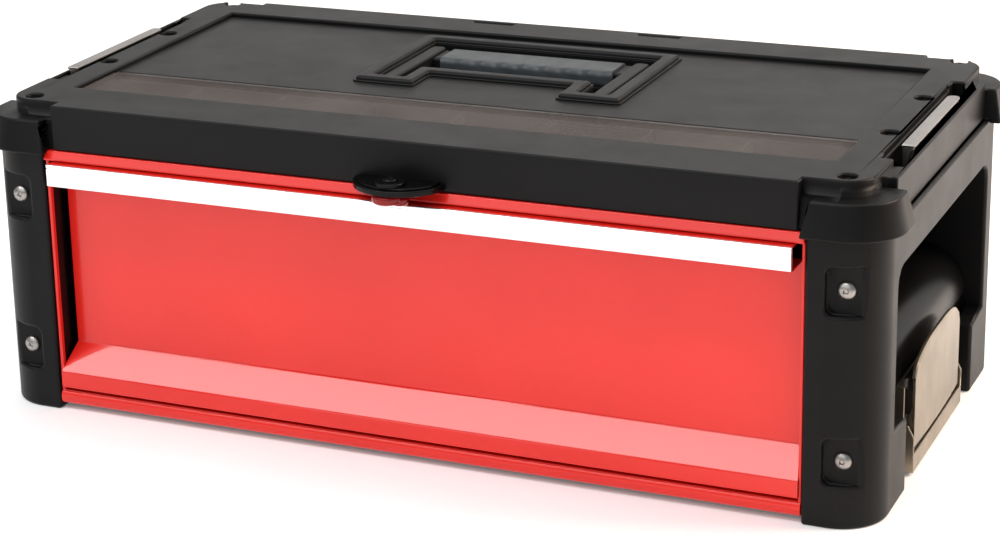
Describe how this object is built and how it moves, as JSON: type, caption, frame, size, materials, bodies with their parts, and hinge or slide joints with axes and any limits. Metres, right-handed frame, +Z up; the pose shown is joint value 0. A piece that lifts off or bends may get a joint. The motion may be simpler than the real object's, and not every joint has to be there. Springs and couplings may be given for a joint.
{
  "type": "metal tool box",
  "caption": "Stackable metal tool box with a red full-width drawer, clear-lidded small-parts tray, fold-flat handle and over-centre side latches.",
  "frame": {"origin": "middle of the whole box's footprint, on the plane the feet stand on", "axes": "+X to the right seen from the drawer's front, -Y towards the drawer's front, +Z up"},
  "size_m": [0.495, 0.2712, 0.1695],
  "materials": {
    "red_paint": "gloss",
    "black_paint": "gloss",
    "charcoal_plastic": "satin, finely textured",
    "strip_aluminium": "brushed",
    "zinc": "warm zinc plate",
    "bright_steel": "bright zinc plate",
    "smoke_window": "smoked, ribbed",
    "grip_rubber": "matte, rippled",
    "red_plastic": "gloss"
  },
  "bodies": {
    "case": {"case_shell": "black_paint", "case_lid": "black_paint", "case_back": "black_paint", "front_frame": "red_paint", "top_deck": "charcoal_plastic", "deck_panel": "charcoal_plastic", "deck_screws": "charcoal_plastic", "handle_pins": "bright_steel", "organiser_tray": "charcoal_plastic", "bin_dividers": "charcoal_plastic", "cover_hinge_pins": "bright_steel", "lock_lug": "charcoal_plastic", "frame_rivets": "bright_steel", "keeper_rivets": "bright_steel", "latch_rivets": "bright_steel", "left_side_frame": "charcoal_plastic", "left_outer_slide": "zinc", "left_keeper": "bright_steel", "left_latch_housing": "black_paint", "left_latch_base": "zinc", "left_lever_pin": "bright_steel", "right_side_frame": "charcoal_plastic", "right_outer_slide": "zinc", "right_keeper": "bright_steel", "right_latch_housing": "black_paint", "right_latch_base": "zinc", "right_lever_pin": "bright_steel"},
    "drawer": {"drawer_front": "red_paint", "pull_strip": "strip_aluminium", "drawer_tray": "black_paint", "left_drawer_runner": "zinc", "right_drawer_runner": "zinc"},
    "left_cage": {"left_ball_cage": "bright_steel", "left_slide_balls": "bright_steel"},
    "right_cage": {"right_ball_cage": "bright_steel", "right_slide_balls": "bright_steel"},
    "handle": {"carry_handle": "charcoal_plastic", "handle_grip": "grip_rubber"},
    "cover": {"organiser_cover": "smoke_window"},
    "lock": {"lock_button": "red_plastic", "lock_screw": "bright_steel"},
    "left_lever": {"left_latch_lever": "zinc", "left_hook_pin": "bright_steel"},
    "left_hook": {"left_latch_hook": "zinc"},
    "right_lever": {"right_latch_lever": "zinc", "right_hook_pin": "bright_steel"},
    "right_hook": {"right_latch_hook": "zinc"}
  },
  "joints": [
    {"name": "drawer_slide", "type": "slide", "parent": "case", "child": "drawer", "axis": [0, -1, 0], "range_m": [0, 0.16]},
    {"name": "left_cage_slide", "type": "slide", "parent": "case", "child": "left_cage", "axis": [0, -1, 0], "range_m": [0, 0.08]},
    {"name": "right_cage_slide", "type": "slide", "parent": "case", "child": "right_cage", "axis": [0, -1, 0], "range_m": [0, 0.08]},
    {"name": "lock_turn", "type": "hinge", "parent": "case", "child": "lock", "pos_m": [0, -0.12625, 0.145], "axis": [0, 0, 1], "range_deg": [0, 90]},
    {"name": "handle_fold", "type": "hinge", "parent": "case", "child": "handle", "pos_m": [0, 0.00735, 0.162], "axis": [1, 0, 0], "range_deg": [0, 90]},
    {"name": "cover_hinge", "type": "hinge", "parent": "case", "child": "cover", "pos_m": [0, -0.03525, 0.1654], "axis": [-1, 0, 0], "range_deg": [0, 100]},
    {"name": "left_lever_turn", "type": "hinge", "parent": "case", "child": "left_lever", "pos_m": [-0.2366, 0.00735, 0.0152], "axis": [0, -1, 0], "range_deg": [0, 80]},
    {"name": "left_hook_turn", "type": "hinge", "parent": "left_lever", "child": "left_hook", "pos_m": [-0.2358, 0.00735, 0.0235], "axis": [0, -1, 0], "range_deg": [-120, 0]},
    {"name": "right_lever_turn", "type": "hinge", "parent": "case", "child": "right_lever", "pos_m": [0.2366, 0.00735, 0.0152], "axis": [0, 1, 0], "range_deg": [0, 80]},
    {"name": "right_hook_turn", "type": "hinge", "parent": "right_lever", "child": "right_hook", "pos_m": [0.2358, 0.00735, 0.0235], "axis": [0, 1, 0], "range_deg": [-120, 0]}
  ],
  "couplings": [
    {"joint": "left_cage_slide", "follows": "drawer_slide", "ratio": 0.5},
    {"joint": "right_cage_slide", "follows": "drawer_slide", "ratio": 0.5},
    {"joint": "left_hook_turn", "follows": "left_lever_turn", "ratio": -1.5},
    {"joint": "right_hook_turn", "follows": "right_lever_turn", "ratio": -1.5}
  ]
}
